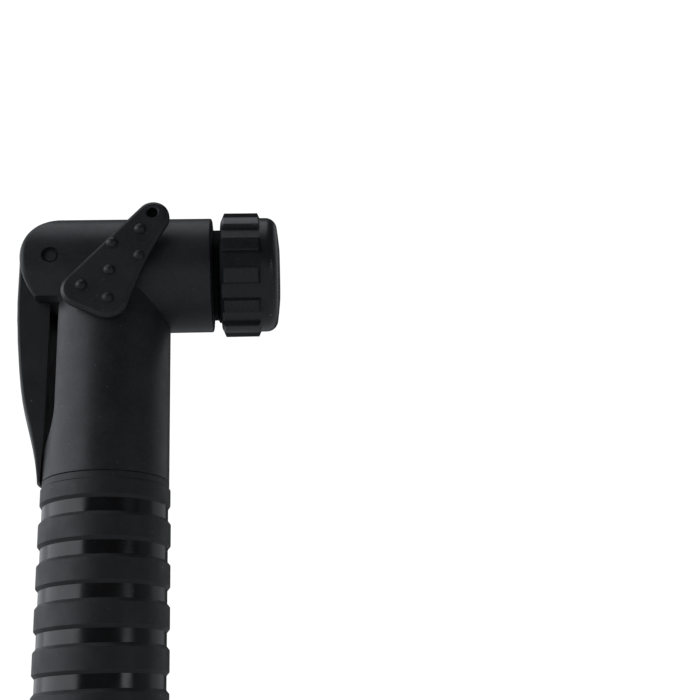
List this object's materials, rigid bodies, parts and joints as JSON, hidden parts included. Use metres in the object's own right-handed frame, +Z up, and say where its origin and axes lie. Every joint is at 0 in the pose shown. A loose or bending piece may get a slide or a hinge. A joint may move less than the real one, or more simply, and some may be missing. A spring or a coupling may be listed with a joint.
{
  "type": "mini hand pump",
  "caption": "Hand pump for bicycle tyres and forks: ribbed handle sleeve over an alloy barrel, angled head with lock lever, fluted valve cap and dimpled selector lever.",
  "frame": {"origin": "centre of the flat foot's underside, on the barrel axis", "axes": "+Z up the barrel axis towards the head, +X along the valve axis out of the clamp cap, -Y out of the side that carries the selector lever"},
  "size_m": [0.0511, 0.0266, 0.1993],
  "materials": {
    "head_plastic": "soft-touch black",
    "lever_plastic": "soft-touch black",
    "cap_plastic": "satin black",
    "selector_plastic": "satin black",
    "sleeve_plastic": "polished black",
    "grip_rubber": "matt black",
    "foot_rubber": "matt black",
    "barrel_alloy": "satin anodised",
    "rod_steel": "ground",
    "pin_steel": "blackened",
    "ball_steel": "polished",
    "seal_rubber": "greased black",
    "guide_plastic": "natural",
    "piston_plastic": "natural"
  },
  "bodies": {
    "handle": {"end_cap": "head_plastic", "end_plug": "foot_rubber", "rod_screw": "rod_steel", "handle_sleeve": "sleeve_plastic", "grip_bands": "grip_rubber", "grip_collar": "grip_rubber", "closing_bumper": "seal_rubber", "piston_rod": "rod_steel", "piston_head": "piston_plastic", "piston_cup": "seal_rubber", "piston_screw": "rod_steel"},
    "barrel": {"barrel_tube": "barrel_alloy", "barrel_bush": "guide_plastic", "barrel_o_ring": "seal_rubber", "check_valve_seat": "guide_plastic", "check_spring": "rod_steel", "head_body": "head_plastic", "lever_pin": "pin_steel", "valve_grommet": "seal_rubber", "selector_bush": "head_plastic"},
    "check_ball": {"check_ball": "ball_steel"},
    "lock_lever": {"lock_lever": "lever_plastic"},
    "plunger": {"cam_plunger": "guide_plastic", "plunger_o_rings": "seal_rubber", "core_pin": "rod_steel"},
    "cap_carriage": {"slip_washer": "guide_plastic"},
    "clamp_cap": {"clamp_cap": "cap_plastic"},
    "selector": {"selector_lever": "selector_plastic", "selector_spindle": "guide_plastic", "selector_o_ring": "seal_rubber"}
  },
  "joints": [
    {"name": "barrel_pull", "type": "slide", "parent": "handle", "child": "barrel", "axis": [0, 0, 1], "range_m": [0, 0.1]},
    {"name": "check_ball_lift", "type": "slide", "parent": "barrel", "child": "check_ball", "axis": [0, 0, 1], "range_m": [0, 0.0008], "stiffness_N_per_m": 40, "deforming": ["check_spring"]},
    {"name": "lock_lever_turn", "type": "hinge", "parent": "barrel", "child": "lock_lever", "pos_m": [-0.01017, 0, 0.187], "axis": [0, 1, 0], "range_deg": [0, 90]},
    {"name": "plunger_push", "type": "slide", "parent": "barrel", "child": "plunger", "axis": [1, 0, 0], "range_m": [0, 0.00241]},
    {"name": "cap_travel", "type": "slide", "parent": "barrel", "child": "cap_carriage", "axis": [1, 0, 0], "range_m": [0, 0.00451]},
    {"name": "clamp_cap_turn", "type": "hinge", "parent": "cap_carriage", "child": "clamp_cap", "pos_m": [0.0275, 0, 0.187], "axis": [1, 0, 0], "range_deg": [0, 1080]},
    {"name": "selector_turn", "type": "hinge", "parent": "barrel", "child": "selector", "pos_m": [0.0012, -0.0127, 0.1828], "axis": [0, -1, 0], "range_deg": [0, 90]}
  ],
  "couplings": [
    {"joint": "plunger_push", "follows": "lock_lever_turn", "m_per_rad": 0.0015279},
    {"joint": "cap_travel", "follows": "clamp_cap_turn", "m_per_rad": 0.00023873}
  ]
}
